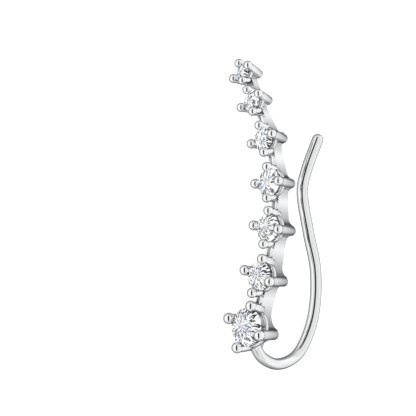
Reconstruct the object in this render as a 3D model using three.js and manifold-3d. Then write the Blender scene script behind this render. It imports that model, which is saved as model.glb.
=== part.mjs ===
// Ear climber: a curved row of seven claw-set round stones on one bar, with a wire hook behind.
// Millimetres. The row is laid out in its own frame: X across it, Y back towards the ear and
// Z up the row, from the middle of the lowest stone. The whole is then laid on its side.
import * as THREE from 'three';
import { mergeVertices } from 'three/addons/utils/BufferGeometryUtils.js';
import { ConvexGeometry } from 'three/addons/geometries/ConvexGeometry.js';
import Module from 'manifold-3d';

const wasm = await Module();
wasm.setup();

// One setting each, from the lowest up. stone and claw are diameters, and a claw's tip lies out
// outside the girdle. step is the distance up to the next stone, and turn is how far that step leans across, in degrees. back is how far the
// stone lies behind the lowest one, and tilt is how many degrees its face is turned up the row.
// spin is how many degrees its claws are turned clockwise, seen from the front. The setting
// reaches depth behind the stone's girdle. The bar on either side of it starts front behind the
// girdle and ends short of the setting's back by waist.
const ROW = [
  {
    stone: 3.4, claw: 0.98, out: 0.26, step: 4.62, turn: 0.7, back: 0,
    tilt: 0, spin: 6, depth: 2.20, front: 0.70, waist: 0,
  },
  {
    stone: 2.6, claw: 0.92, out: 0.26, step: 4.28, turn: 7.1, back: 0,
    tilt: 0, spin: 6, depth: 2.20, front: 0.70, waist: 0,
  },
  {
    stone: 2.5, claw: 0.88, out: 0.21, step: 3.94, turn: 20, back: 0.12,
    tilt: 0, spin: 4, depth: 2.15, front: 0.70, waist: 0.05,
  },
  {
    stone: 2.45, claw: 0.86, out: 0.14, step: 3.94, turn: 30.8, back: 0.30,
    tilt: 0, spin: 4, depth: 2.05, front: 0.70, waist: 0.10,
  },
  {
    stone: 2.1, claw: 0.84, out: 0.21, step: 3.80, turn: 43.8, back: 0.45,
    tilt: 2, spin: 1, depth: 1.90, front: 0.62, waist: 0.20,
  },
  {
    stone: 1.9, claw: 0.82, out: 0.21, step: 3.13, turn: 50.4, back: 0.65,
    tilt: 4.5, spin: 0, depth: 1.58, front: 0.50, waist: 0.30,
  },
  {
    stone: 1.6, claw: 0.80, out: 0.21, step: 0, turn: 50.4, back: 1.20,
    tilt: 8, spin: 0, depth: 1.65, front: 0.42, waist: 0.38,
  },
];

// The bar
const BAR_WIDTH = 0.95;
const GROOVE_WIDTH = 0.52; // along the bar's front, from claw to claw
const GROOVE_SHARE = 0.17; // of the bar's thickness
const GROOVE_STEPS = 3;
const FLARE_REACH = 0.6; // the upper flare stops this share of a claw's radius outside its middle
const LOWER_FLARE = 0.45; // how wide the lower flare is beside the upper one
const LOWER_STRETCH = 2; // and how long beside its width
const ARC_STEPS = 5;
const BITE = 1; // how far a cutter stands out of the metal that it cuts

// The claws, four to a stone
const CLAW_RISE = 0.20; // the tip lies this far in front of the girdle, of the stone's radius
const CLAW_LEAN = 0.51; // the root's middle lies this far inside the tip's
const CLAW_EDGE = 0.14; // rounding of the root's end
const CLAW_SIDES = 10;
const TIP_STEPS = 3; // from the tip's pole to its equator
const CLAW_SEATED = 0.2; // a claw that stands on the bar reaches this far below the groove

// The web between the two claws of the lowest stone that the ear wire starts from
const WEB = 0.5;
const WEB_FRONT = 0.9; // behind the girdle
const WEB_SHORT = 0.08; // it stops this far short of the claws' ends

// The stones, as shares of the diameter
const TABLE = 0.57;
const CROWN = 0.165;
const STAR = 0.78; // across the outer points of the star facets
const GIRDLE = 0.03;
const PAVILION = 0.43;
const LOWER_HALF = 0.24; // across the inner points of the lower girdle facets
const MAINS = 8;
const SEAT_PLAY = 0.11; // the seat is this much wider than its stone
const HOLE = 0.45; // the open back behind a stone, as a share of its diameter

// The ear wire, from its root in the lowest claw to its tip
const WIRE = 1.02;
const WIRE_SIDES = 12;
const WIRE_STEPS = 56;
const WIRE_COURSE = [
  { across: 0.10, back: 1.45, up: -1.54 },
  { across: 0.42, back: 2.50, up: -2.54 },
  { across: 0.60, back: 4.50, up: -3.01 },
  { across: 0.50, back: 6.75, up: -2.14 },
  { across: 0.20, back: 7.90, up: -0.14 },
  { across: -0.30, back: 8.38, up: 2.21 },
  { across: -1.05, back: 8.08, up: 5.41 },
  { across: -1.90, back: 6.90, up: 8.51 },
  { across: -2.75, back: 5.72, up: 12.01 },
  { across: -3.12, back: 6.02, up: 13.71 },
  { across: -3.72, back: 7.12, up: 16.46 },
];

const REST_ROUNDS = 8; // after these the touching points no longer change

const SILVER = new THREE.MeshStandardMaterial({ color: 0xd9dbde, roughness: 0.12, metalness: 1 });
const CLEAR = new THREE.MeshStandardMaterial({ color: 0xf2f6fb, roughness: 0.03, metalness: 0 });

// A closed three.js geometry as a solid to join and cut, and back again
function solidOf(geometry, matrix = new THREE.Matrix4()) {
  const bare = new THREE.BufferGeometry();
  bare.setAttribute('position', geometry.getAttribute('position').clone());
  if (geometry.index) bare.setIndex(geometry.index);
  const merged = mergeVertices(bare.applyMatrix4(matrix), 1e-4);
  const vertProperties = merged.getAttribute('position').array;
  const triVerts = new Uint32Array(merged.index.array);
  return new wasm.Manifold(new wasm.Mesh({ numProp: 3, vertProperties, triVerts }));
}

function geometryOf(solid) {
  const { vertProperties, triVerts } = solid.getMesh();
  const geometry = new THREE.BufferGeometry();
  geometry.setAttribute('position', new THREE.BufferAttribute(vertProperties, 3));
  geometry.setIndex(new THREE.BufferAttribute(triVerts, 1));
  return geometry;
}

// Where each stone's middle lies
function layOutRow() {
  let across = 0;
  let up = 0;
  return ROW.map((row) => {
    const middle = new THREE.Vector3(across, row.back, up);
    const [turn, tilt, spin] = [row.turn, row.tilt, row.spin].map(THREE.MathUtils.degToRad);
    across -= row.step * Math.sin(turn);
    up += row.step * Math.cos(turn);
    return { ...row, tilt, spin, middle, radius: row.stone / 2, clawRadius: row.claw / 2 };
  });
}

const settings = layOutRow();
const last = settings.length - 1;
const spine = new THREE.CatmullRomCurve3(settings.map((s) => s.middle));

// The row's directions a distance up or down from stone i: local X is across the row, Y back and
// Z along it. Past its ends the row runs straight on.
function rowFrame(i, distance = 0) {
  const step = settings[distance < 0 ? i - 1 : i]?.step;
  const on = step ? distance / step : 0;
  const t = (i + on) / last;
  const along = spine.getTangent(t);
  const back = new THREE.Vector3(0, 1, 0).addScaledVector(along, -along.y).normalize();
  const across = new THREE.Vector3().crossVectors(back, along);
  const place = spine.getPoint(t).addScaledVector(along, step ? 0 : distance);
  return new THREE.Matrix4().makeBasis(across, back, along).setPosition(place);
}

// The same at stone i itself, with its tilt and spin
function settingFrame(i) {
  const tilted = new THREE.Matrix4().makeRotationX(-settings[i].tilt);
  const spun = new THREE.Matrix4().makeRotationY(settings[i].spin);
  return rowFrame(i).multiply(tilted).multiply(spun);
}

// A box bent along the row, as wide and deep at each section as that section says. A section
// beside setting i slants with its claws.
function alongRow(sections) {
  const box = new THREE.BoxGeometry(2, 1, 1, 1, 1, sections.length - 1);
  const position = box.getAttribute('position');
  const corner = new THREE.Vector3();
  for (let k = 0; k < position.count; k++) {
    corner.fromBufferAttribute(position, k);
    const section = sections[Math.round((corner.z + 0.5) * (sections.length - 1))];
    const { i, distance, half, front, back } = section;
    const across = corner.x * half;
    corner.set(across, corner.y < 0 ? front : back, -across * Math.tan(settings[i].spin));
    position.setXYZ(k, ...corner.applyMatrix4(rowFrame(i, distance)));
  }
  return solidOf(box);
}

// Above each setting a quarter circle leads from its side claws into the bar. Below it the flare
// is narrower and longer.
function bar() {
  const arc = Array.from({ length: ARC_STEPS + 1 }, (_, k) => (k / ARC_STEPS) * (Math.PI / 2));
  const sections = settings.flatMap((s, i) => {
    const upper = s.radius + s.out - CLAW_LEAN + FLARE_REACH * s.clawRadius - BAR_WIDTH / 2;
    const lower = LOWER_FLARE * upper;
    const flare = (a, width, length) => ({
      i,
      distance: Math.sign(length) * s.clawRadius + length * (1 - Math.cos(a)),
      half: BAR_WIDTH / 2 + width * (1 - Math.sin(a)),
      front: s.front,
      back: s.depth - s.waist * Math.sin(a),
    });
    const below = arc.map((a) => flare(a, lower, -LOWER_STRETCH * lower)).reverse();
    return [...below, ...arc.map((a) => flare(a, upper, upper))];
  });
  return alongRow(sections);
}

// How far behind stone i's girdle the groove's floor lies
function grooveFloor(i) {
  const { front, depth, waist } = settings[i];
  return front + GROOVE_SHARE * (depth - waist - front);
}

// The groove between stone i and the next one up
function groove(i) {
  const start = settings[i].radius + settings[i].out;
  const end = settings[i].step - settings[i + 1].radius - settings[i + 1].out;
  const sections = Array.from({ length: GROOVE_STEPS + 1 }, (_, k) => {
    const on = k / GROOVE_STEPS;
    return {
      i,
      distance: start + on * (end - start),
      half: GROOVE_WIDTH / 2,
      front: settings[i].front - BITE,
      back: THREE.MathUtils.lerp(grooveFloor(i), grooveFloor(i + 1), on),
    };
  });
  return alongRow(sections);
}

// A round claw beside stone i, at an angle from the row's across direction. Its tip is half a
// ball, and its root ends flat at the given depth.
function claw(i, angle, depth) {
  const { radius, clawRadius, out, depth: settingDepth } = settings[i];
  const rise = CLAW_RISE * radius;
  const tip = new THREE.Vector3(radius + out, -rise, 0);
  const root = new THREE.Vector3(radius + out - CLAW_LEAN, settingDepth, 0);
  const lean = root.clone().sub(tip).normalize();
  const length = (depth + rise) / lean.y;
  const profile = [];
  for (let k = 0; k <= TIP_STEPS; k++) {
    const a = (k / TIP_STEPS) * (Math.PI / 2);
    profile.push(new THREE.Vector2(clawRadius * Math.sin(a), -clawRadius * Math.cos(a)));
  }
  profile[0].x = 0;
  profile.push(new THREE.Vector2(clawRadius, length - CLAW_EDGE));
  profile.push(new THREE.Vector2(clawRadius - CLAW_EDGE, length), new THREE.Vector2(0, length));
  const stand = new THREE.Matrix4().compose(
    tip,
    new THREE.Quaternion().setFromUnitVectors(new THREE.Vector3(0, 1, 0), lean),
    new THREE.Vector3(1, 1, 1),
  );
  const place = settingFrame(i).multiply(new THREE.Matrix4().makeRotationY(-angle)).multiply(stand);
  return solidOf(new THREE.LatheGeometry(profile, CLAW_SIDES), place);
}

// Side claws run to the back. Of the two on the row, those that stand on the bar stop inside it.
function claws(i) {
  const { depth } = settings[i];
  const seated = grooveFloor(i) + CLAW_SEATED;
  return [
    claw(i, 0, depth),
    claw(i, Math.PI, depth),
    claw(i, Math.PI / 2, seated),
    claw(i, -Math.PI / 2, i === 0 ? depth : seated),
  ];
}

// The web joins the right claw of the lowest stone to its bottom one.
function web() {
  const { radius, out, depth } = settings[0];
  const root = radius + out - CLAW_LEAN;
  const back = depth - WEB_SHORT;
  const plate = new THREE.BoxGeometry(WEB, back - WEB_FRONT, root * Math.SQRT2);
  const place = settingFrame(0)
    .multiply(new THREE.Matrix4().makeRotationY(Math.PI / 4))
    .multiply(new THREE.Matrix4().makeTranslation(root * Math.SQRT1_2, (WEB_FRONT + back) / 2, 0));
  return solidOf(plate, place);
}

// A round brilliant about its girdle's middle, with its table to the front
function brilliant(diameter) {
  const halfGirdle = GIRDLE / 2;
  const step = Math.PI / MAINS;
  const ring = (count, across, depth, phase = 0) => Array.from({ length: count }, (_, k) => {
    const a = phase + (k / count) * 2 * Math.PI;
    return new THREE.Vector3(Math.cos(a) * across / 2, depth, Math.sin(a) * across / 2)
      .multiplyScalar(diameter);
  });
  const kiteSlope = (CROWN - halfGirdle) / (0.5 - TABLE / 2);
  const starDepth = -halfGirdle - kiteSlope * (0.5 - (STAR / 2) * Math.cos(step));
  const lowerDepth = halfGirdle + PAVILION * (1 - LOWER_HALF * Math.cos(step));
  return new ConvexGeometry([
    ...ring(MAINS, TABLE, -CROWN),
    ...ring(MAINS, STAR, starDepth, step),
    ...ring(2 * MAINS, 1, -halfGirdle),
    ...ring(2 * MAINS, 1, halfGirdle),
    ...ring(MAINS, LOWER_HALF, lowerDepth, step),
    new THREE.Vector3(0, halfGirdle + PAVILION, 0).multiplyScalar(diameter),
  ]);
}

// The seat cut for stone i, and its open back
function seat(i) {
  const { stone, radius, depth } = settings[i];
  const place = settingFrame(i);
  const length = depth + BITE;
  const hole = new THREE.CylinderGeometry(HOLE * radius, HOLE * radius, length, CLAW_SIDES);
  const behind = place.clone().multiply(new THREE.Matrix4().makeTranslation(0, length / 2, 0));
  return solidOf(brilliant(stone + SEAT_PLAY), place).add(solidOf(hole, behind));
}

// The ear wire, rounded at its tip
function wire() {
  const course = new THREE.CatmullRomCurve3(
    WIRE_COURSE.map((p) => new THREE.Vector3(p.across, p.back, p.up)),
  );
  const round = new THREE.Shape().absarc(0, 0, WIRE / 2, 0, 2 * Math.PI);
  const rod = new THREE.ExtrudeGeometry(round, {
    curveSegments: WIRE_SIDES / 2, steps: WIRE_STEPS, extrudePath: course,
  });
  const tip = new THREE.SphereGeometry(WIRE / 2, WIRE_SIDES, WIRE_SIDES / 2);
  const end = new THREE.Matrix4().setPosition(course.getPoint(1));
  return solidOf(rod).add(solidOf(tip, end));
}

// All the metal is one cast and soldered piece.
function climberFrame() {
  let metal = bar();
  for (let i = 0; i < last; i++) metal = metal.subtract(groove(i));
  metal = metal.add(wire()).add(web());
  for (let i = 0; i <= last; i++) for (const each of claws(i)) metal = metal.add(each);
  for (let i = 0; i <= last; i++) metal = metal.subtract(seat(i));
  return geometryOf(metal);
}

// The direction that points up when the climber lies on its side. It comes to rest on the topmost
// and the lowest side claw and on the ear wire's bend, each of which touches at its lowest point.
function upAtRest() {
  const sideClaw = (i) => claw(i, Math.PI, settings[i].depth);
  const touching = [sideClaw(last), sideClaw(0), wire()].map(geometryOf);
  const lowest = (geometry, up) => {
    const position = geometry.getAttribute('position');
    let found = new THREE.Vector3().fromBufferAttribute(position, 0);
    for (let k = 1; k < position.count; k++) {
      const point = new THREE.Vector3().fromBufferAttribute(position, k);
      if (point.dot(up) < found.dot(up)) found = point;
    }
    return found;
  };
  let up = new THREE.Vector3(1, 0, 0);
  for (let round = 0; round < REST_ROUNDS; round++) {
    const [a, b, c] = touching.map((geometry) => lowest(geometry, up));
    up = new THREE.Vector3().crossVectors(b.sub(a), c.sub(a)).normalize();
  }
  return up;
}

// Laid out in the row's frame, then turned so that the row runs along Y and lies on the surface
const climber = new THREE.Group();
const frame = new THREE.Mesh(climberFrame(), SILVER);
frame.name = 'climber_frame';
climber.add(frame);
settings.forEach((s, i) => {
  const stone = new THREE.Mesh(brilliant(s.stone), CLEAR);
  stone.name = `stone_${i + 1}`;
  stone.applyMatrix4(settingFrame(i));
  climber.add(stone);
});

const up = upAtRest();
const chord = settings[last].middle.clone().sub(settings[0].middle);
const along = chord.addScaledVector(up, -chord.dot(up)).normalize();
const across = new THREE.Vector3().crossVectors(along, up);
climber.applyMatrix4(new THREE.Matrix4().makeBasis(across, along, up).invert());
climber.updateMatrixWorld(true);
const box = new THREE.Box3().setFromObject(climber, true);
const centre = box.getCenter(new THREE.Vector3());
climber.position.set(-centre.x, -centre.y, -box.min.z);

export default climber;
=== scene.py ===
"""An ear climber with its looks: the claws and their rails, the grooved bar, the ear wire and
the finishes, with painted shade on the silver and painted flashes on the stones. The shapes
are modelled in millimetres with the row standing upright: X across the row, Y up the row and
Z to the front, from the middle of the lowest stone. Each finished piece is then laid down
where its stones lie."""

import math
from contextlib import contextmanager

import bmesh
import bpy
from bpy.props import FloatProperty, FloatVectorProperty, IntProperty, PointerProperty
from bpy.types import Operator, Panel, PropertyGroup
from mathutils import Matrix, Vector
from mathutils.geometry import interpolate_bezier
from mathutils.kdtree import KDTree


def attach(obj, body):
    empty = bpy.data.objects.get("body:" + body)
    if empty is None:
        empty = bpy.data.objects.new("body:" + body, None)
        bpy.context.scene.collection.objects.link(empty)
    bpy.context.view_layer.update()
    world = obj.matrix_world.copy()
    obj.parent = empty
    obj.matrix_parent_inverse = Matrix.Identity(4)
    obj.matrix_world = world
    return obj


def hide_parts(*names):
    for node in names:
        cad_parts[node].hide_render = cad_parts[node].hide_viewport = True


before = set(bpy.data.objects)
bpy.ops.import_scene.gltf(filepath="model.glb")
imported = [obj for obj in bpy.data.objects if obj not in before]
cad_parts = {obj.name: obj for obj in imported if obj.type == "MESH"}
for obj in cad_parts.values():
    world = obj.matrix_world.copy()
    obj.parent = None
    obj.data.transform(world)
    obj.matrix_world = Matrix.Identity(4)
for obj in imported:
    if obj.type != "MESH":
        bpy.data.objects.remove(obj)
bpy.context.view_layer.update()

bl_info = {
    "name": "Ear climber",
    "version": (1, 0, 0),
    "blender": (4, 5, 0),
    "location": "3D Viewport > Sidebar > Ear climber",
    "description": "Builds a claw-set ear climber with its finishes, and a stage for it",
    "category": "Add Mesh",
}

STONES = sorted(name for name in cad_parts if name.startswith("stone_"))
COUNT = len(STONES)
MM = 1000  # millimetres in a metre
SHARP = math.radians(50)  # edges that turn more than this are bevelled
SMOOTH = math.radians(35)  # faces that turn less than this are shaded as one
MERGE = 2e-7  # metres between points that are one and the same
COURSE_POINTS = 64  # that the row's course is followed by, from one stone to the next


# ---------------------------------------------------------------- what a user would change


def length(name, description, default):
    """A size, in metres."""
    return FloatProperty(
        name=name, description=description, default=default, min=0, unit="LENGTH", precision=5
    )


def each_length(name, description, default):
    """A size for each stone, in metres."""
    return FloatVectorProperty(
        name=name, description=description, default=default, size=COUNT, unit="LENGTH",
        precision=5,
    )


def each_angle(name, description, default):
    """An angle for each stone. The default is in degrees."""
    return FloatVectorProperty(
        name=name, description=description, size=COUNT, unit="ROTATION",
        default=[math.radians(angle) for angle in default],
    )


def colour(name, description, default):
    """A colour."""
    return FloatVectorProperty(
        name=name, description=description, default=default, size=3, subtype="COLOR", min=0, max=1
    )


def share(name, description, default):
    """A share, from none to all."""
    return FloatProperty(name=name, description=description, default=default, min=0, max=1)


class ClimberRow(PropertyGroup):
    """The row of stones, each value from the lowest stone up"""

    stone: each_length(
        "Stones", "Diameter of each stone",
        (0.0034, 0.0026, 0.0025, 0.00245, 0.0021, 0.0019, 0.0016),
    )
    claw: each_length(
        "Claws", "Diameter of each stone's claws",
        (0.00098, 0.00092, 0.00088, 0.00086, 0.00084, 0.00082, 0.00080),
    )
    out: each_length(
        "Claws out", "How far the middle of a claw's tip lies outside the girdle",
        (0.00026, 0.00026, 0.00021, 0.00014, 0.00021, 0.00021, 0.00021),
    )
    step: each_length(
        "Steps", "Distance from each stone up to the next",
        (0.00462, 0.00428, 0.00394, 0.00394, 0.00380, 0.00313, 0),
    )
    turn: each_angle(
        "Turns", "How far each step leans across", (0.7, 7.1, 20, 30.8, 43.8, 50.4, 50.4)
    )
    back: each_length(
        "Set back", "How far each stone lies behind the lowest",
        (0, 0, 0.00012, 0.00030, 0.00045, 0.00065, 0.00120),
    )
    tilt: each_angle("Tilts", "How far each stone faces up the row", (0, 0, 0, 0, 2, 4.5, 8))
    spin: each_angle("Spins", "How far each stone's claws are turned", (6, 6, 4, 4, 1, 0, 0))
    depth: each_length(
        "Depths", "How far each setting reaches behind its stone's girdle",
        (0.00220, 0.00220, 0.00215, 0.00205, 0.00190, 0.00158, 0.00165),
    )
    front: each_length(
        "Bar fronts", "How far the bar's front lies behind each girdle",
        (0.00070, 0.00070, 0.00070, 0.00070, 0.00062, 0.00050, 0.00042),
    )
    waist: each_length(
        "Waists", "How much shallower the bar is than each setting",
        (0, 0, 0.00005, 0.00010, 0.00020, 0.00030, 0.00038),
    )


class ClimberMetal(PropertyGroup):
    """The bar, the claws and the ear wire"""

    bar_width: length("Bar width", "Width of the bar between the settings", 0.00095)
    groove_width: length("Groove width", "Width of the groove along the bar's front", 0.00052)
    groove_share: share("Groove depth", "Depth of the groove, of the bar's thickness", 0.17)
    edge: length("Edge", "Rounding of the bar's edges", 0.0001)
    claw_rise: share("Claw rise", "How far a claw's tip lies in front, of the radius", 0.20)
    claw_lean: length("Claw lean", "How far a claw's root lies inside its tip", 0.00051)
    claw_edge: length("Claw edge", "Rounding of the claw's root", 0.00014)
    rail: length("Rail", "Thickness of the rail that joins a stone's claws", 0.00034)
    web: length("Web", "Thickness of the web that the ear wire starts from", 0.0005)
    web_front: length("Web front", "How far it starts behind the lowest girdle", 0.0009)
    seat_play: length("Seat play", "How much wider a seat is than its stone", 0.00008)
    wire: length("Wire", "Thickness of the ear wire", 0.00102)
    sides: IntProperty(name="Sides", description="Sides of a round form", default=32, min=8)


class ClimberFinish(PropertyGroup):
    """Colours and polish, with the colours of the painted shade on the silver and of the painted
    flashes on the stones
    """

    silver: colour("Silver", "Colour of the plated silver", (0.86, 0.865, 0.87))
    # Hollows: painted shade, the colour the silver is darkened to in its hollows
    shade: colour("Hollows", "Colour of the silver deep in the hollows", (0.42, 0.425, 0.43))
    # Dull: painted shade, the colour the silver is darkened to as far as each point is marked; it
    # stands in for darker reflections
    painted_shade: colour("Dull", "Colour of the silver where it is dullest", (0.20, 0.205, 0.21))
    polish: share("Polish", "Roughness of the polished silver", 0.05)
    # Stone: the stones' clear colour, and the colour of their painted white flashes
    stone: colour("Stone", "Colour of the clear stones", (0.99, 0.995, 1.0))
    # Glint: the colour of the stones' painted cool glints
    glint: colour("Glint", "Colour of the stones' cool glints", (0.50, 0.66, 0.95))
    # Dark: the colour of the stones' painted dark dashes
    dark: colour("Dark", "Colour of the facets that let no light back", (0.02, 0.02, 0.025))
    floor: colour("Floor", "Colour of the floor", (0.50, 0.50, 0.50))


# ---------------------------------------------------------------- the row


def through(points):
    """Bezier handles (left, point, right) of a smooth course through the points."""
    padded = [2 * points[0] - points[1], *points, 2 * points[-1] - points[-2]]
    course = []
    for before, here, after in zip(padded, padded[1:], padded[2:]):
        a, b = math.sqrt((here - before).length), math.sqrt((after - here).length)
        slope = (here - before) / a - (after - before) / (a + b) + (after - here) / b
        course.append((here - slope * a / 3, here, here + slope * b / 3))
    return course


class Setting:
    """One stone's place in the row, in millimetres"""

    def __init__(self, row, i, middle):
        self.middle = middle
        self.radius = MM * row.stone[i] / 2
        self.claw = MM * row.claw[i] / 2
        self.out, self.step = MM * row.out[i], MM * row.step[i]
        self.depth, self.front, self.waist = (
            MM * row.depth[i], MM * row.front[i], MM * row.waist[i]
        )
        self.tilt, self.spin = row.tilt[i], row.spin[i]

    def put_on(self, course):
        """Faces the setting to the front, upright on its place (left, point, right) in the row."""
        along = (course[2] - course[0]).normalized()
        front = (Vector((0, 0, 1)) - along * along.z).normalized()
        turned = Matrix((along.cross(front), along, front)).transposed().to_4x4()
        tilted = Matrix.Rotation(-self.tilt, 4, "X") @ Matrix.Rotation(-self.spin, 4, "Z")
        self.matrix = Matrix.Translation(self.middle) @ turned @ tilted


def lay_out_row():
    """The settings, and the course of Bezier handles through their middles."""
    row = bpy.context.scene.climber_row
    settings, across, up = [], 0, 0
    for i in range(COUNT):
        settings.append(Setting(row, i, Vector((across, up, -MM * row.back[i]))))
        across -= MM * row.step[i] * math.sin(row.turn[i])
        up += MM * row.step[i] * math.cos(row.turn[i])
    course = through([s.middle for s in settings])
    for s, handles in zip(settings, course):
        s.put_on(handles)
    return settings, course


# The stones' own proportions, as shares of the diameter: table width, crown height, girdle
# thickness, pavilion depth, and the rings of star and lower girdle points.
TABLE, CROWN, GIRDLE, PAVILION, STAR, LOWER_HALF = 0.57, 0.165, 0.03, 0.43, 0.78, 0.24
MAINS = 8  # main facets round the crown, and as many behind
STEP = math.pi / MAINS

# A stone has three rings of MAINS points, two rings of twice as many, and the point at its back.
# They are spread evenly round its axis, so their mean lies on it, behind the girdle.
CROWN_SLOPE = (CROWN - GIRDLE / 2) / (0.5 - TABLE / 2)
STAR_HEIGHT = GIRDLE / 2 + CROWN_SLOPE * (0.5 - STAR / 2 * math.cos(STEP))
LOWER_DEPTH = GIRDLE / 2 + PAVILION * (1 - LOWER_HALF * math.cos(STEP))
BEHIND_GIRDLE = (
    (MAINS * (LOWER_DEPTH - CROWN - STAR_HEIGHT) + GIRDLE / 2 + PAVILION)
    / (MAINS * 3 + 2 * MAINS * 2 + 1)
)


def stone_middle(name):
    """The mean of a CAD stone's points, in metres."""
    points = {tuple(v.co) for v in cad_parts[name].data.vertices}
    return sum((Vector(p) for p in points), Vector()) / len(points)


def laid_down():
    """The matrix from the upright row in millimetres to where the stones lie in metres."""
    settings, _ = lay_out_row()

    def triad(a, b, c):
        """Axes that three points give."""
        x = (b - a).normalized()
        z = x.cross(c - a).normalized()
        return Matrix((x, z.cross(x), z)).transposed().to_4x4()

    def upright(i):
        """The mean of a stone's points in the upright row."""
        s = settings[i]
        return s.matrix @ Vector((0, 0, -2 * s.radius * BEHIND_GIRDLE))

    picked = (0, COUNT // 2, COUNT - 1)
    here = [upright(i) for i in picked]
    there = [stone_middle(STONES[i]) for i in picked]
    turn = triad(*there) @ triad(*here).inverted()
    scale = (there[2] - there[0]).length / (here[2] - here[0]).length
    place = Matrix.Diagonal((scale, scale, scale, 1))
    return Matrix.Translation(there[0] - turn @ place @ here[0]) @ turn @ place


# ---------------------------------------------------------------- modelling


def nothing_selected():
    """Object mode with nothing selected."""
    if bpy.context.mode != "OBJECT":
        bpy.ops.object.mode_set(mode="OBJECT")
    bpy.ops.object.select_all(action="DESELECT")


def pick(*objects):
    """Selects these objects alone; the last is active."""
    nothing_selected()
    for obj in objects:
        obj.select_set(True)
    bpy.context.view_layer.objects.active = objects[-1]
    return objects[-1]


def named(name):
    """The object just added, with its place in its mesh."""
    obj = bpy.context.object
    obj.name = obj.data.name = name
    bpy.ops.object.transform_apply(location=True, rotation=True, scale=True)
    return obj


@contextmanager
def editing(obj, kind="FACE"):
    """Edit mode with nothing selected. What is given is the mesh to select in."""
    pick(obj)
    bpy.ops.object.mode_set(mode="EDIT")
    bpy.ops.mesh.select_mode(type=kind)
    bpy.ops.mesh.select_all(action="DESELECT")
    yield bmesh.from_edit_mesh(obj.data)
    bpy.ops.object.mode_set(mode="OBJECT")


def choose(mesh, obj, items):
    """Selects just these of a mesh's points, edges or faces."""
    bpy.ops.mesh.select_all(action="DESELECT")
    for item in items:
        item.select_set(True)
    mesh.select_flush(True)
    bmesh.update_edit_mesh(obj.data)


def modify(obj, kind, **values):
    """Adds a modifier and applies it."""
    pick(obj)
    modifier = obj.modifiers.new(kind.title(), kind)
    for key, value in values.items():
        setattr(modifier, key, value)
    bpy.ops.object.modifier_apply(modifier=modifier.name)
    return obj


def join(name, objects):
    """One object of several."""
    pick(*objects)
    bpy.ops.object.join()
    return named(name)


def cut(obj, cutter, overlapping=False):
    """Cuts with another object, which is then gone."""
    modify(
        obj, "BOOLEAN", operation="DIFFERENCE", object=cutter, solver="EXACT",
        use_self=overlapping,
    )
    pick(cutter)
    bpy.ops.object.delete()
    return obj


def place(obj, matrix):
    """Moves an object by a matrix, which its mesh takes up."""
    pick(obj)
    obj.matrix_world = matrix @ obj.matrix_world
    bpy.ops.object.transform_apply(location=True, rotation=True, scale=True)
    return obj


def copy_of(obj, name):
    """A copy with its own mesh."""
    twin = obj.copy()
    twin.data = obj.data.copy()
    twin.name = twin.data.name = name
    bpy.context.collection.objects.link(twin)
    return twin


def finished(obj, finish):
    """Laid down, shaded, given its material and attached to the root."""
    place(obj, laid_down())
    with editing(obj) as mesh:
        choose(mesh, obj, mesh.faces)
        bpy.ops.mesh.remove_doubles(threshold=MERGE)
        bpy.ops.mesh.normals_make_consistent(inside=False)
    pick(obj)
    bpy.ops.object.shade_smooth_by_angle(angle=SMOOTH)
    obj.data.materials.clear()
    obj.data.materials.append(finish)
    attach(obj, "root")
    return obj


def swept_box(name, sections):
    """A bar along Y through sections (y, half width, front, back)."""
    (y0, half, front, back), (y1, *_) = sections[:2]
    bpy.ops.mesh.primitive_cube_add(
        size=1, location=(0, (y0 + y1) / 2, (front + back) / 2),
        scale=(2 * half, y1 - y0, front - back),
    )
    obj = named(name)
    with editing(obj) as mesh:
        choose(mesh, obj, [max(mesh.faces, key=lambda f: f.normal.y)])
        for k in range(1, len(sections)):
            was, now = sections[k - 1], sections[k]
            middle = (now[2] + now[3]) / 2
            move = (0, now[0] - was[0], middle - (was[2] + was[3]) / 2)
            if k == 1:
                bpy.ops.transform.translate(value=(0, 0, move[2]))
            else:
                bpy.ops.mesh.extrude_region_move(TRANSFORM_OT_translate={"value": move})
            bpy.ops.transform.resize(
                value=(now[1] / was[1], 1, (now[2] - now[3]) / (was[2] - was[3])),
                center_override=(0, now[0], middle),
            )
    return obj


def draw_out(z, radius, rings):
    """Draws a selected round end, at z and of this radius, out through rings (z, radius)."""
    for next_z, next_radius in rings:
        bpy.ops.mesh.extrude_region_move(TRANSFORM_OT_translate={"value": (0, 0, next_z - z)})
        bpy.ops.transform.resize(
            value=(next_radius / radius, next_radius / radius, 1),
            center_override=(0, 0, next_z),
        )
        z, radius = next_z, next_radius


def turned_form(name, rings, sides):
    """A round form along Z through rings (z, radius), closed at both ends."""
    (z, radius), *rest = rings
    bpy.ops.mesh.primitive_circle_add(
        vertices=sides, radius=radius, fill_type="NGON", location=(0, 0, z)
    )
    obj = named(name)
    with editing(obj) as mesh:
        choose(mesh, obj, mesh.faces)
        draw_out(z, radius, rest)
        choose(mesh, obj, mesh.faces)
        bpy.ops.mesh.normals_make_consistent(inside=False)
    return obj


def bezier(name, course, steps):
    """A curve object on a course of Bezier handles, with this many steps between two."""
    bpy.ops.curve.primitive_bezier_curve_add()
    obj = bpy.context.object
    obj.name = obj.data.name = name
    spline = obj.data.splines[0]
    spline.bezier_points.add(len(course) - len(spline.bezier_points))
    for point, (left, here, right) in zip(spline.bezier_points, course):
        point.handle_left_type = point.handle_right_type = "FREE"
        point.handle_left, point.co, point.handle_right = left, here, right
    obj.data.resolution_u = steps
    return obj


# ---------------------------------------------------------------- materials


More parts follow.
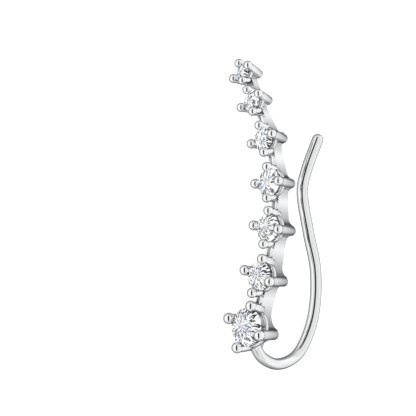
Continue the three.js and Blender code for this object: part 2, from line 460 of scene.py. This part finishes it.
class Value:
    """A socket in a node tree. Sums and products with it add Math nodes."""

    def __init__(self, graph, socket):
        self.graph, self.socket = graph, socket

    def _maths(self, operation, a, b=0.0):
        return self.graph.node("ShaderNodeMath", {"operation": operation}, {0: a, 1: b})

    def __add__(self, other):
        return self._maths("ADD", self, other)

    def __sub__(self, other):
        return self._maths("SUBTRACT", self, other)

    def __rsub__(self, other):
        return self._maths("SUBTRACT", other, self)

    def __mul__(self, other):
        return self._maths("MULTIPLY", self, other)

    def __truediv__(self, other):
        return self._maths("DIVIDE", self, other)

    def __rtruediv__(self, other):
        return self._maths("DIVIDE", other, self)

    def __pow__(self, other):
        return self._maths("POWER", self, other)

    def __abs__(self):
        return self._maths("ABSOLUTE", self)

    __radd__, __rmul__ = __add__, __mul__


class Graph:
    """The nodes of one material or of the world"""

    def __init__(self, owner):
        owner.use_nodes = True
        self.tree = owner.node_tree
        self.tree.nodes.clear()

    def node(self, kind, settings=None, inputs=None, output=0):
        """Adds a node: its settings first, then its sockets. Gives back one of its outputs."""
        node = self.tree.nodes.new(kind)
        for key, value in (settings or {}).items():
            setattr(node, key, value)
        for key, value in (inputs or {}).items():
            if isinstance(value, Value):
                self.tree.links.new(value.socket, node.inputs[key])
            else:
                node.inputs[key].default_value = value
        return Value(self, node.outputs[output] if node.outputs else None)

    def smooth(self, value, low, high):
        """0 below low and 1 above high, or the other way round."""
        return self.node(
            "ShaderNodeMapRange", {"interpolation_type": "SMOOTHSTEP"},
            {"Value": value, "From Min": min(low, high), "From Max": max(low, high),
             "To Min": float(low > high), "To Max": float(low < high)},
        )

    def mix(self, factor, a, b):
        """From colour a to colour b."""
        return self.node(
            "ShaderNodeMix", {"data_type": "RGBA"}, {0: factor, 6: a, 7: b}, output=2
        )

    def places(self, matrix=None):
        """Points of the piece in millimetres, as seen from the frame that the matrix gives."""
        where = self.node("ShaderNodeTexCoord", output="Object")
        if matrix is None:
            return self.node("ShaderNodeMapping", {}, {"Vector": where, "Scale": (MM, MM, MM)})
        place, turn, size = matrix.inverted().decompose()
        return self.node(
            "ShaderNodeMapping", {},
            {"Vector": where, "Location": place, "Rotation": turn.to_euler(), "Scale": size},
        )


def rgba(colour):
    """An opaque colour."""
    return (*colour, 1)


def material(name):
    """A new material and its nodes."""
    made = bpy.data.materials.new(name)
    return made, Graph(made)


HOLLOW_REACH = 0.0007  # how near, in metres, metal makes a hollow
OPEN, DEEP = 0.50, 0.05  # how open the metal is where a hollow's shade starts, and is full
CLOUD_SCALE, GRAIN_SCALE = 0.9, 9.0  # of the noise, for places in millimetres
LEAST_ROUGH, CLOUD_ROUGH = 0.75, 0.5  # shares of the polish's roughness
HOLLOW_ROUGH, GRAIN_ROUGH = 0.10, 0.01
BUMP_SHARE, BUMP_DEPTH = 0.04, 0.00002


def polished_silver():
    """Rhodium-bright silver: hand-polished, darkened by painted shade in its hollows, and by more
    painted shade as far as each point is marked."""
    if "polished_silver" in bpy.data.materials:
        return bpy.data.materials["polished_silver"]
    finish = bpy.context.scene.climber_finish
    made, g = material("polished_silver")
    cloud, grain = (
        g.node(
            "ShaderNodeTexNoise", {}, {"Vector": g.places(), "Scale": scale, "Detail": detail}
        )
        for scale, detail in ((CLOUD_SCALE, 3.0), (GRAIN_SCALE, 4.0))
    )
    # Painted shade: where ambient occlusion finds metal near, the silver is darkened towards the
    # hollows' colour and made a little rougher.
    openness = g.node(
        "ShaderNodeAmbientOcclusion", {"samples": 8}, {"Distance": HOLLOW_REACH}, output="AO"
    )
    hollow = g.smooth(openness, OPEN, DEEP)
    # Painted shade: each point's mark darkens the silver, standing in for darker reflections.
    painted_shade = g.node("ShaderNodeAttribute", {"attribute_name": "painted_shade"}, output="Fac")
    silver = g.mix(painted_shade, rgba(finish.silver), rgba(finish.painted_shade))
    silver = g.mix(hollow, silver, rgba(finish.shade))
    rough = finish.polish * (LEAST_ROUGH + CLOUD_ROUGH * cloud)
    rough = rough + HOLLOW_ROUGH * hollow + GRAIN_ROUGH * grain
    bump = g.node(
        "ShaderNodeBump", {},
        {"Strength": BUMP_SHARE, "Distance": BUMP_DEPTH, "Height": grain + cloud},
    )
    g.node(
        "ShaderNodeOutputMaterial", {},
        {"Surface": g.node(
            "ShaderNodeBsdfPrincipled", {},
            {"Base Color": silver, "Metallic": 1.0, "Roughness": rough, "Normal": bump,
             "Specular Tint": (0.30, 0.31, 0.33, 1)},
        )},
    )
    return made


# The stones' painted flashes: dashes painted white and dark, and painted cool glints, laid round
# each stone's middle.
DASHES_AROUND = 6.5  # dashes in a radian, for each millimetre of a stone's radius
DASHES_OUTWARD = 3.4  # dashes in a millimetre, from the middle outwards
PATCH_AROUND, PATCH_OUTWARD = 0.3, 1.3  # cool patches, beside the dashes and in a millimetre
DEPTH_CHANGE = 0.2  # how quickly the dashes change with depth
STONE_APART = 7.3  # from one stone's pattern to the next one's
PATCH_APART = 3
FEW_BRIGHT, DASH_EDGE = (0.90, 0.86), (0.56, 0.48)  # most dashes are dark, up to this edge
FEW_COOL, COOL_EDGE = (0.78, 0.82), (0.8, 0.5)  # the edge is a share of the radius
REFRACTION = 2.15
# Most of a stone's look is a second surface that glows with the painted flashes, though the stone
# is no lamp.
FLASH_SHARE, FLASH_GLOW = 0.87, 0.4  # how much of the look the flashes are, and their own light


def clear_stone(name, seed, setting, place):
    """Clear cut stone, its look mostly painted: white, dark and cool dashes that run from the
    middle are painted on its facets as flashes, and glow a little."""
    finish = bpy.context.scene.climber_finish
    made, g = material(name)
    at = g.places(place @ setting.matrix)
    x, y, z = (
        g.node("ShaderNodeSeparateXYZ", {}, {"Vector": at}, output=axis) for axis in "XYZ"
    )
    turn = g.node("ShaderNodeMath", {"operation": "ARCTAN2"}, {0: y, 1: x})
    out = (x * x + y * y) ** 0.5

    def flashes(around, outward, place):
        """Each flash's own number, and how far each point lies from the flash's middle."""
        spread = g.node(
            "ShaderNodeCombineXYZ", {},
            {"X": turn * around, "Y": out * outward, "Z": z * DEPTH_CHANGE + place},
        )
        colour, distance = (
            g.node("ShaderNodeTexVoronoi", {}, {"Vector": spread, "Scale": 1.0}, output=wanted)
            for wanted in ("Color", "Distance")
        )
        return g.node("ShaderNodeSeparateColor", {}, {"Color": colour}, output=0), distance

    around = round(setting.radius * DASHES_AROUND)
    number, distance = flashes(around, DASHES_OUTWARD, STONE_APART * seed)
    # Painted dark dashes.
    dark = g.smooth(number, *FEW_BRIGHT) * g.smooth(distance, *DASH_EDGE)
    # Painted cool glints, in wider patches nearer the middle.
    number, _ = flashes(
        PATCH_AROUND * around, PATCH_OUTWARD, STONE_APART * seed + PATCH_APART
    )
    cool = g.smooth(number, *FEW_COOL)
    cool = cool * g.smooth(out, *(part * setting.radius for part in COOL_EDGE))
    # The painted flashes: cool glints and dark dashes over the stone's colour.
    facets = g.mix(cool, rgba(finish.stone), rgba(finish.glint))
    facets = g.mix(dark, facets, rgba(finish.dark))
    clear = g.node(
        "ShaderNodeBsdfPrincipled", {},
        {"Base Color": facets, "Roughness": 0.0, "IOR": REFRACTION,
         "Transmission Weight": 1.0},
    )
    # A surface that shows the painted flashes and glows with them.
    bright = g.node(
        "ShaderNodeBsdfPrincipled", {},
        {"Base Color": facets, "Roughness": 0.1, "IOR": REFRACTION,
         "Emission Color": facets, "Emission Strength": FLASH_GLOW},
    )
    g.node(
        "ShaderNodeOutputMaterial", {},
        {"Surface": g.node(
            "ShaderNodeMixShader", {}, {0: FLASH_SHARE, 1: clear, 2: bright}
        )},
    )
    return made


def mark(obj, name, value):
    """Gives each point of a mesh a number that its material reads."""
    marked = obj.data.attributes.new(name, "FLOAT", "POINT")
    marked.data.foreach_set("value", [value(v.co) for v in obj.data.vertices])


def between(stops, at):
    """The value at a place between stops (place, value)."""
    at = min(max(at, stops[0][0]), stops[-1][0])
    for (a, va), (b, vb) in zip(stops, stops[1:]):
        if at <= b:
            return va + (vb - va) * (at - a) / (b - a)


# ---------------------------------------------------------------- pieces


class CLIMBER_OT_bar(Operator):
    """Build the grooved bar that carries the settings"""

    bl_idname = "climber.bar"
    bl_label = "Bar"
    run_on = 3.0  # the curve runs on straight this far past the end stones
    curve_steps = 24  # from stone to stone
    arc_steps = 8
    flare_reach = 0.6  # the upper flare stops this share of a claw's radius outside its middle
    lower_flare = 0.45  # how wide the lower flare is beside the upper one
    lower_stretch = 2  # and how long beside its width
    back_short = 0.03  # the bar's back lies this far in front of the settings' backs
    longest = 0.25  # of the straight pieces between two settings
    sag = 0.03  # the bar's sides are hollowed by this between two settings
    edge_steps = 3
    groove_edge, groove_edge_steps = 0.16, 4
    groove_out = 1  # the groove's cutter starts this far in front of the girdles
    hole = 0.45  # the open back behind a stone, of its diameter
    hole_ends = (0.1, 1)  # its cutter reaches this far in front of the girdle, and out behind
    hole_sides = 24
    core = 1.4  # how far behind the stones the bar's own middle lies
    # Painted shade on the bar, from none to full: where a setting covers it, and from one
    # setting's claws up to the next's.
    painted_shade_inside = 0.6  # the bar where a setting covers it
    painted_shade_amount = (  # from one setting's claws up to the next's
        (0, 0.86), (0.08, 0.80), (0.16, 0.66), (0.25, 0.52), (0.34, 0.38), (0.45, 0.20),
        (0.57, 0.04), (0.66, 0.06), (0.76, 0.28), (0.85, 0.46), (1, 0.55),
    )

    def flares(self, s):
        """The bar's sections (y, half, front, back) about one setting."""
        metal = bpy.context.scene.climber_metal
        bar, lean = MM * metal.bar_width / 2, MM * metal.claw_lean
        upper = s.radius + s.out - lean + self.flare_reach * s.claw - bar
        lower = self.lower_flare * upper
        found = []
        for k in range(self.arc_steps + 1):
            a = k / self.arc_steps * math.pi / 2
            back = -s.depth + self.back_short + 2 * s.claw * math.sin(s.tilt)
            back += s.waist * math.sin(a)
            out, on = 1 - math.sin(a), 1 - math.cos(a)
            found.append((s.claw + upper * on, bar + upper * out, -s.front, back))
            found.append((
                -s.claw - self.lower_stretch * lower * on, bar + lower * out, -s.front, back
            ))
        return sorted(found)

    def sections(self, settings, places):
        """Sections (y, half, front, back) all along, and which setting each belongs to."""
        found = [
            ((places[i] + y, *rest), i)
            for i, s in enumerate(settings) for y, *rest in self.flares(s)
        ]
        full = [found[0]]
        for now, i in found[1:]:
            was = full[-1][0]
            pieces = max(1, math.ceil((now[0] - was[0]) / self.longest))
            sag = self.sag if pieces > 2 else 0  # on the long runs alone
            for k in range(1, pieces + 1):
                y, half, front, back = (a + (b - a) * k / pieces for a, b in zip(was, now))
                half -= sag * 4 * k / pieces * (1 - k / pieces)  # most midway
                full.append(((y, half, front, back), i))
        return full

    def spin(self, bar, sections, settings):
        """Turns each section of the straight bar as its setting's claws are turned."""
        with editing(bar, "VERT") as mesh:
            rows = {}
            for v in mesh.verts:
                k = min(range(len(sections)), key=lambda k: abs(sections[k][0][0] - v.co.y))
                rows.setdefault(k, []).append(v)
            for k, points in rows.items():
                (y, *_), i = sections[k]
                if settings[i].spin:
                    choose(mesh, bar, points)
                    bpy.ops.transform.rotate(
                        value=settings[i].spin, orient_axis="Z", center_override=(0, y, 0)
                    )

    def grooves(self, settings, places):
        """The cutters of the groove, one between each two settings."""
        metal = bpy.context.scene.climber_metal
        half = MM * metal.groove_width / 2

        def floor(s):
            return -s.front - metal.groove_share * (s.depth - s.waist - s.front)

        cutters = []
        for i, (s, t) in enumerate(zip(settings, settings[1:])):
            start, end = places[i] + s.radius + s.out, places[i + 1] - t.radius - t.out
            steps = max(2, math.ceil((end - start) / self.longest))
            sections = [
                (start + (end - start) * k / steps, half,
                 self.groove_out - min(s.front, t.front),
                 floor(s) + (floor(t) - floor(s)) * k / steps)
                for k in range(steps + 1)
            ]
            cutters.append(modify(
                swept_box("groove", sections), "BEVEL", width=self.groove_edge,
                segments=self.groove_edge_steps, limit_method="ANGLE", angle_limit=SHARP,
            ))
        return join("grooves", cutters)

    def bend(self, bar, course):
        """Bends the straight bar onto the row's course."""
        first, last = course[0], course[-1]
        start, end = (first[2] - first[1]).normalized(), (last[1] - last[0]).normalized()
        a, b = first[1] - start * self.run_on, last[1] + end * self.run_on
        curve = bezier(
            "row_course",
            [
                (a - start, a, a + start), (first[1] - start, first[1], first[2]),
                *course[1:-1],
                (last[0], last[1], last[1] + end), (b - end, b, b + end),
            ],
            self.curve_steps,
        )
        curve.data.twist_mode = "Z_UP"
        for point in curve.data.splines[0].bezier_points:
            point.tilt = math.pi / 2  # the front stays to the front
        modify(bar, "CURVE", object=curve, deform_axis="POS_Y")
        pick(curve)
        bpy.ops.object.delete()

    def seats(self, settings):
        """The cutters of the seats and the open backs."""
        before, behind = self.hole_ends
        cutters = []
        for s in settings:
            radius = self.hole * s.radius
            hole = turned_form(
                "hole", [(before, radius), (-s.depth - behind, radius)], self.hole_sides
            )
            cutters += [place(seat_of(s), s.matrix), place(hole, s.matrix)]
        return join("seats", cutters)

    def painted_shade(self, bar, settings, course):
        """Marks painted shade on the bar: it stays bright midway between two settings and is
        painted darker beside them.
        """
        near, tree = [], KDTree(COURSE_POINTS * COUNT)
        for i, ((_, a, b), (c, d, _)) in enumerate(zip(course, course[1:])):
            s, t = settings[i], settings[i + 1]
            for k, point in enumerate(interpolate_bezier(a, b, c, d, COURSE_POINTS)):
                on = (k / (COURSE_POINTS - 1) * s.step - s.claw) / (s.step - s.claw - t.claw)
                tree.insert(point + s.matrix.col[2].xyz * -self.core, len(near))
                near.append(between(self.painted_shade_amount, on) if 0 <= on <= 1 else self.painted_shade_inside)
        tree.balance()
        mark(bar, "painted_shade", lambda co: near[tree.find(co)[1]])

    def execute(self, context):
        metal = context.scene.climber_metal
        settings, course = lay_out_row()
        places = [self.run_on]
        for (_, a, b), (c, d, _) in zip(course, course[1:]):
            run = interpolate_bezier(a, b, c, d, COURSE_POINTS)
            places.append(places[-1] + sum((q - p).length for p, q in zip(run, run[1:])))
        sections = self.sections(settings, places)
        bar = swept_box("bar", [section for section, _ in sections])
        self.spin(bar, sections, settings)
        cut(bar, self.grooves(settings, places))
        modify(
            bar, "BEVEL", width=MM * metal.edge, segments=self.edge_steps,
            limit_method="ANGLE", angle_limit=SHARP,
        )
        self.bend(bar, course)
        cut(bar, self.seats(settings), overlapping=True)
        self.painted_shade(bar, settings, course)
        finished(bar, polished_silver())
        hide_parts("climber_frame")
        return {"FINISHED"}


SEAT_OUT = 0.5  # a seat's cutter reaches this far in front of the stone's table
SEAT_POINT = 0.02  # the radius of its point, of the stone's diameter
SEAT_SIDES = 48


def seat_of(s):
    """The hollow for a stone at the origin, a little wider than it."""
    d = 2 * s.radius + MM * bpy.context.scene.climber_metal.seat_play
    rings = [
        (CROWN * d + SEAT_OUT, TABLE * d / 2), (CROWN * d, TABLE * d / 2), (GIRDLE * d, d / 2),
        (-GIRDLE * d, d / 2), (-(GIRDLE + PAVILION) * d, SEAT_POINT * d),
    ]
    return turned_form("seat", rings, SEAT_SIDES)


class CLIMBER_OT_settings(Operator):
    """Build each stone's four claws and the rail between them"""

    bl_idname = "climber.settings"
    bl_label = "Settings"
    # Behind a claw's ball and across, of its radius: where the ball ends, then the neck
    ball_end = -0.39
    neck = (-0.62, 0.925), (-0.9, 0.925), (-1.25, 0.955), (-1.8, 0.975)
    post = 0.975
    root_turn = 0.3  # of the root's rounding, where it is one step round
    claw_seated = 0.2  # a claw that stands on the bar reaches this far below the groove
    # The rail: how far it lies behind the girdle, of the radius and then in all, how much of its
    # half thickness it lies inside the girdle, and how much thicker it is from front to back
    rail_back, rail_more, rail_inside, rail_deep = 0.42, 0.1, 0.6, 1.25
    rail_sides = 64, 16
    web_short = 0.08  # the web stops this far short of the claws' roots
    web_edge, web_edge_steps = 0.08, 3
    # Painted shade on the claws: darker behind the girdle, none in front of it.
    painted_shade_amount = (-0.5, 0.16), (0.1, 0)  # from behind the girdle to the front of it

    def claw(self, s, depth):
        """A claw at the stone's +X side, with its ball in front."""
        metal = bpy.context.scene.climber_metal
        rise, edge = metal.claw_rise * s.radius, MM * metal.claw_edge
        tip = Vector((s.radius + s.out, 0, rise))
        root = Vector((s.radius + s.out - MM * metal.claw_lean, 0, -s.depth))
        lean = (root - tip).normalized()
        full, r = (depth + rise) / -lean.z, s.claw
        bpy.ops.mesh.primitive_uv_sphere_add(
            segments=metal.sides, ring_count=metal.sides // 2, radius=r
        )
        claw = named("claw")
        with editing(claw, "VERT") as mesh:
            choose(mesh, claw, [v for v in mesh.verts if v.co.z < self.ball_end * r])
            bpy.ops.mesh.delete(type="VERT")
        with editing(claw, "VERT") as mesh:
            rim = [v for v in mesh.verts if v.is_boundary]
            choose(mesh, claw, rim)
            draw_out(rim[0].co.z, rim[0].co.xy.length, [
                *((z * r, size * r) for z, size in self.neck),
                (edge - full, self.post * r),
                (self.root_turn * edge - full, self.post * r - self.root_turn * edge),
                (-full, self.post * r - edge),
            ])
            bpy.ops.mesh.edge_face_add()
        stand = Vector((0, 0, -1)).rotation_difference(lean).to_matrix().to_4x4()
        return place(claw, Matrix.Translation(tip) @ stand)

    def rail(self, s):
        """The rail behind the girdle, from claw to claw."""
        thick = MM * bpy.context.scene.climber_metal.rail / 2
        middle = (0, 0, -self.rail_back * s.radius - self.rail_more)
        around, across = self.rail_sides
        bpy.ops.mesh.primitive_torus_add(
            major_radius=s.radius - thick * self.rail_inside, minor_radius=thick,
            major_segments=around, minor_segments=across, location=middle,
        )
        rail = named("rail")
        with editing(rail, "VERT") as mesh:
            choose(mesh, rail, mesh.verts)
            bpy.ops.transform.resize(value=(1, 1, self.rail_deep), center_override=middle)
        return rail

    def web(self, s):
        """The web between the lowest stone's right claw and its bottom one, which the ear wire
        starts from."""
        metal = bpy.context.scene.climber_metal
        root = s.radius + s.out - MM * metal.claw_lean
        front, back = MM * metal.web_front, s.depth - self.web_short
        bpy.ops.mesh.primitive_cube_add(
            size=1, location=(root * math.sqrt(0.5), 0, -(front + back) / 2),
            scale=(MM * metal.web, root * math.sqrt(2), back - front),
        )
        web = modify(
            named("web"), "BEVEL", width=self.web_edge, segments=self.web_edge_steps
        )
        return place(web, Matrix.Rotation(-math.pi / 4, 4, "Z"))

    def claws(self, s, lowest):
        """A setting's four claws. Those in line with the bar stand on it, where there is one."""
        metal = bpy.context.scene.climber_metal
        groove = metal.groove_share * (s.depth - s.waist - s.front)
        full = self.claw(s, s.depth)
        short = self.claw(s, s.front + groove + self.claw_seated)
        claws = []
        for name, claw, quarter in (
            ("right", full, 0), ("left", full, 2), ("top", short, 1),
            ("bottom", full if lowest else short, 3),
        ):
            turned = Matrix.Rotation(quarter * math.pi / 2, 4, "Z")
            claws.append(place(copy_of(claw, name), turned))
        pick(full, short)
        bpy.ops.object.delete()
        return claws

    def execute(self, context):
        settings, _ = lay_out_row()
        for i, s in enumerate(settings):
            parts = self.claws(s, lowest=i == 0)
            if i == 0:
                parts.append(self.web(s))
            setting = join(f"setting_{i + 1}", [*parts, self.rail(s)])
            cut(setting, seat_of(s), overlapping=True)
            # Marks painted shade, by how far behind the girdle each point lies.
            mark(setting, "painted_shade", lambda co: between(self.painted_shade_amount, co.z))
            place(setting, s.matrix)
            finished(setting, polished_silver())
            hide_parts("climber_frame")
        return {"FINISHED"}


class CLIMBER_OT_ear_wire(Operator):
    """Build the ear wire, from its root in the lowest setting to its rounded tip"""

    bl_idname = "climber.ear_wire"
    bl_label = "Ear wire"
    course = (  # across, up, back
        (0.10, -1.54, 1.45), (0.42, -2.54, 2.50), (0.60, -3.01, 4.50), (0.50, -2.14, 6.75),
        (0.20, -0.14, 7.90), (-0.30, 2.21, 8.38), (-1.05, 5.41, 8.08), (-1.90, 8.51, 6.90),
        (-2.75, 12.01, 5.72), (-3.12, 13.71, 6.02), (-3.72, 16.46, 7.12),
    )
    steps = 12  # between two points of the course
    merge = 1e-4
    flat = 0.01  # the end's points lie this near its plane
    tip_steps = 7
    tip_turn = 7.5  # steps in a quarter turn; the last half step stays flat
    # Painted shade, the same all along the wire
    painted_shade_amount = 0.12

    def round_tip(self, wire, tip, end, thick):
        """Draws the wire's flat end out into a dome. end is the way it points."""
        with editing(wire) as mesh:
            cap = [
                f for f in mesh.faces
                if all(abs((v.co - tip).dot(end)) < self.flat for v in f.verts)
                and (f.calc_center_median() - tip).length < thick
            ]
            choose(mesh, wire, cap)
            done, reach = 0.0, thick
            for k in range(1, self.tip_steps + 1):
                a = k / self.tip_turn * math.pi / 2
                step = thick * math.sin(a) - done
                bpy.ops.mesh.extrude_region_move(TRANSFORM_OT_translate={"value": end * step})
                size = thick * math.cos(a) / reach
                done, reach = done + step, thick * math.cos(a)
                bpy.ops.transform.resize(
                    value=(size, size, size), center_override=tip + end * done
                )

    def execute(self, context):
        metal = context.scene.climber_metal
        thick = MM * metal.wire / 2
        course = through([Vector((x, y, -z)) for x, y, z in self.course])
        wire = bezier("ear_wire", course, self.steps)
        wire.data.dimensions = "3D"
        wire.data.bevel_depth = thick
        wire.data.bevel_resolution = metal.sides // 4 - 1
        wire.data.use_fill_caps = True
        pick(wire)
        bpy.ops.object.convert(target="MESH")
        wire = named("ear_wire")
        with editing(wire) as mesh:
            choose(mesh, wire, mesh.faces)
            bpy.ops.mesh.remove_doubles(threshold=self.merge)
        before, tip, _ = course[-1]
        self.round_tip(wire, tip, (tip - before).normalized(), thick)
        # Marks the same painted shade on every point of the wire.
        mark(wire, "painted_shade", lambda co: self.painted_shade_amount)
        finished(wire, polished_silver())
        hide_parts("climber_frame")
        return {"FINISHED"}


class CLIMBER_OT_stones(Operator):
    """Give each stone its material, with its painted flashes"""

    bl_idname = "climber.stones"
    bl_label = "Stones"

    def execute(self, context):
        settings, _ = lay_out_row()
        place = laid_down()
        for i, (name, setting) in enumerate(zip(STONES, settings)):
            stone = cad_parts[name]
            stone.data.materials.clear()
            stone.data.materials.append(clear_stone(f"clear_{name}", i, setting, place))
        return {"FINISHED"}


# ---------------------------------------------------------------- the stage

# Directions in the upright row's frame: towards the camera, and up in its view
TOWARDS = Vector((0.6707, 0.1477, 0.7269))
UPWARDS = Vector((-0.277, 0.959, 0.0607))
VIEW_WIDTH = 36.17  # of what the camera sees, in millimetres
LOWEST_STONE = (3.357, -10.36)  # right of the view's middle and above it, in millimetres


class CLIMBER_OT_stage(Operator):
    """Set the floor, the light and the camera"""

    bl_idname = "climber.stage"
    bl_label = "Stage"
    lens, sensor = 400, 36
    clip = 0.01, 20
    floor_size = 6
    floor_glow = 0.78
    # The light's zones. Each pair says where a zone starts and where it is full, by the cosine
    # between a direction and the way right, up or towards the camera.
    slot_left = 0.15  # the slot's middle lies this far left of the camera
    slot_sides, slot_ahead, slot_ends = (0.36, 0.22), (0.0, 0.1), (0.92, 0.80)
    left_side, left_level = (-0.35, -0.70), (0.75, 0.45)
    open_side, open_level = (0.45, 0.75), (0.35, 0.15)
    behind_level, behind_side = (0.7, -0.9), (0.30, 0.60)
    high_direction, high_round = (0.73, 0.578, -0.36), (0.80, 0.96)  # right, up and back
    # The plain light, what three zones add to it, and the shares that two others take away
    plain, more_left, more_open, more_high = 0.98, 0.35, 0.36, 0.17
    less_behind, less_slot = 0.68, 0.95
    behind_spared = 0.45  # how much less is taken away on the open side

    def camera(self, matrix):
        """Sets the camera, and gives its right, up and back."""
        turn = matrix.to_3x3().normalized()
        back = (turn @ TOWARDS).normalized()
        up = turn @ UPWARDS
        right = up.cross(back).normalized()
        up = back.cross(right)
        x, y = (v / MM for v in LOWEST_STONE)
        aim = matrix.translation - right * x - up * y
        away = VIEW_WIDTH / MM * self.lens / self.sensor
        bpy.ops.object.camera_add()
        camera = bpy.context.object
        camera.name = "camera"
        camera.data.lens = self.lens
        camera.data.clip_start, camera.data.clip_end = self.clip
        axes = Matrix((right, up, back)).transposed().to_4x4()
        camera.matrix_world = Matrix.Translation(aim + back * away) @ axes
        bpy.context.scene.camera = camera
        return right, up, back

    def floor(self, finish):
        """A plain pale floor, which the polish doesn't mirror."""
        bpy.ops.mesh.primitive_plane_add(size=self.floor_size)
        floor = named("floor")
        made, g = material("studio_floor")
        g.node(
            "ShaderNodeOutputMaterial", {},
            {"Surface": g.node(
                "ShaderNodeBsdfPrincipled", {},
                {"Base Color": rgba(finish.floor), "Roughness": 0.9,
                 "Specular IOR Level": 0.1, "Emission Color": (1, 1, 1, 1),
                 "Emission Strength": self.floor_glow},
            )},
        )
        floor.data.materials.append(made)
        floor.visible_glossy = floor.visible_transmission = False

    def light(self, right, up, back):
        """Soft light, dimmer behind the piece, with a dark slot behind the camera."""
        world = bpy.data.worlds.new("studio")
        bpy.context.scene.world = world
        g = Graph(world)
        way = g.node("ShaderNodeTexCoord", output="Generated")

        def towards(direction):
            return g.node(
                "ShaderNodeVectorMath", {"operation": "DOT_PRODUCT"},
                {0: way, 1: direction}, output="Value",
            )

        side, rise, near = towards(right), towards(up), towards(back)
        level = (side * side + near * near) ** 0.5 + 0.001  # never quite 0
        slot = g.smooth(abs(side / level + self.slot_left), *self.slot_sides)
        slot = slot * g.smooth(near, *self.slot_ahead)
        slot = slot * g.smooth(abs(rise), *self.slot_ends)
        left = g.smooth(side, *self.left_side) * g.smooth(abs(near), *self.left_level)
        open_side = g.smooth(side, *self.open_side) * g.smooth(near, *self.open_level)
        behind = g.smooth(near, *self.behind_level)
        behind = behind * (1 - self.behind_spared * g.smooth(side, *self.behind_side))
        a, b, c = self.high_direction
        high = g.smooth(towards(right * a + up * b + back * c), *self.high_round)
        light = self.plain + self.more_left * left + self.more_open * open_side
        light = light + self.more_high * high
        light = light * (1 - self.less_behind * behind) * (1 - self.less_slot * slot)
        colour = g.node("ShaderNodeCombineColor", {}, {0: light, 1: light, 2: light})
        g.node(
            "ShaderNodeOutputWorld", {},
            {"Surface": g.node("ShaderNodeBackground", {}, {"Color": colour, "Strength": 1.0})},
        )

    def execute(self, context):
        nothing_selected()
        axes = self.camera(laid_down())
        self.floor(context.scene.climber_finish)
        self.light(*axes)
        context.scene.view_settings.view_transform = "Standard"
        return {"FINISHED"}


# ---------------------------------------------------------------- the add-on


class CLIMBER_PT_sidebar(Panel):
    """The climber's pieces and sizes"""

    bl_label = "Ear climber"
    bl_space_type = "VIEW_3D"
    bl_region_type = "UI"
    bl_category = "Ear climber"

    def draw(self, context):
        for operator in OPERATORS:
            self.layout.operator(operator.bl_idname)
        for name in GROUPS:
            group = getattr(context.scene, name)
            for key in group.__annotations__:
                self.layout.prop(group, key)


GROUPS = {
    "climber_row": ClimberRow, "climber_metal": ClimberMetal, "climber_finish": ClimberFinish
}
OPERATORS = (
    CLIMBER_OT_bar, CLIMBER_OT_settings, CLIMBER_OT_ear_wire, CLIMBER_OT_stones,
    CLIMBER_OT_stage,
)


def register():
    for each in (*GROUPS.values(), *OPERATORS, CLIMBER_PT_sidebar):
        bpy.utils.register_class(each)
    for name, group in GROUPS.items():
        setattr(bpy.types.Scene, name, PointerProperty(type=group))


def unregister():
    for name in GROUPS:
        delattr(bpy.types.Scene, name)
    for each in reversed((*GROUPS.values(), *OPERATORS, CLIMBER_PT_sidebar)):
        bpy.utils.unregister_class(each)


def main():
    register()
    bpy.ops.climber.stage()
    bpy.ops.climber.bar()
    bpy.ops.climber.settings()
    bpy.ops.climber.ear_wire()
    bpy.ops.climber.stones()


if __name__ == "__main__":
    main()
